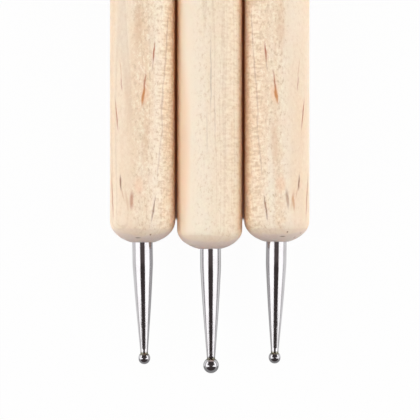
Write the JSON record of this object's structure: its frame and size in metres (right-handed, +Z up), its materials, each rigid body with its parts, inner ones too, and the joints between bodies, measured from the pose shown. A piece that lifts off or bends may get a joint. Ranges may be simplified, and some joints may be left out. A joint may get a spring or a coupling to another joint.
{
  "type": "nail dotting tool",
  "caption": "Set of double-ended nail dotting tools lying side by side: round wooden handles with domed ends, tapered polished steel shanks and small steel ball tips.",
  "frame": {"origin": "on the surface that the set lies on, under the middle of the middle handle, on the face it rests on", "axes": "+Y along the tools, away from the front tips that the picture shows; +X from the left tool to the right one; +Z up"},
  "size_m": [0.0288, 0.1267, 0.0094],
  "materials": {
    "handle_wood": "pale birch-like wood, fine grain along the handle, satin clear lacquer",
    "shank_steel": "polished steel with faint turning lines",
    "ball_steel": "mirror-polished steel"
  },
  "bodies": {
    "middle_tool": {"middle_handle": "handle_wood", "middle_front_shank": "shank_steel", "middle_front_ball": "ball_steel", "middle_rear_shank": "shank_steel", "middle_rear_ball": "ball_steel"},
    "left_tool": {"left_handle": "handle_wood", "left_front_shank": "shank_steel", "left_front_ball": "ball_steel", "left_rear_shank": "shank_steel", "left_rear_ball": "ball_steel"},
    "right_tool": {"right_handle": "handle_wood", "right_front_shank": "shank_steel", "right_front_ball": "ball_steel", "right_rear_shank": "shank_steel", "right_rear_ball": "ball_steel"}
  },
  "joints": [
    {"name": "left_lift", "type": "slide", "parent": "middle_tool", "child": "left_tool", "axis": [0, 0, 1], "range_m": [0, 0.04]},
    {"name": "right_lift", "type": "slide", "parent": "middle_tool", "child": "right_tool", "axis": [0, 0, 1], "range_m": [0, 0.04]}
  ]
}
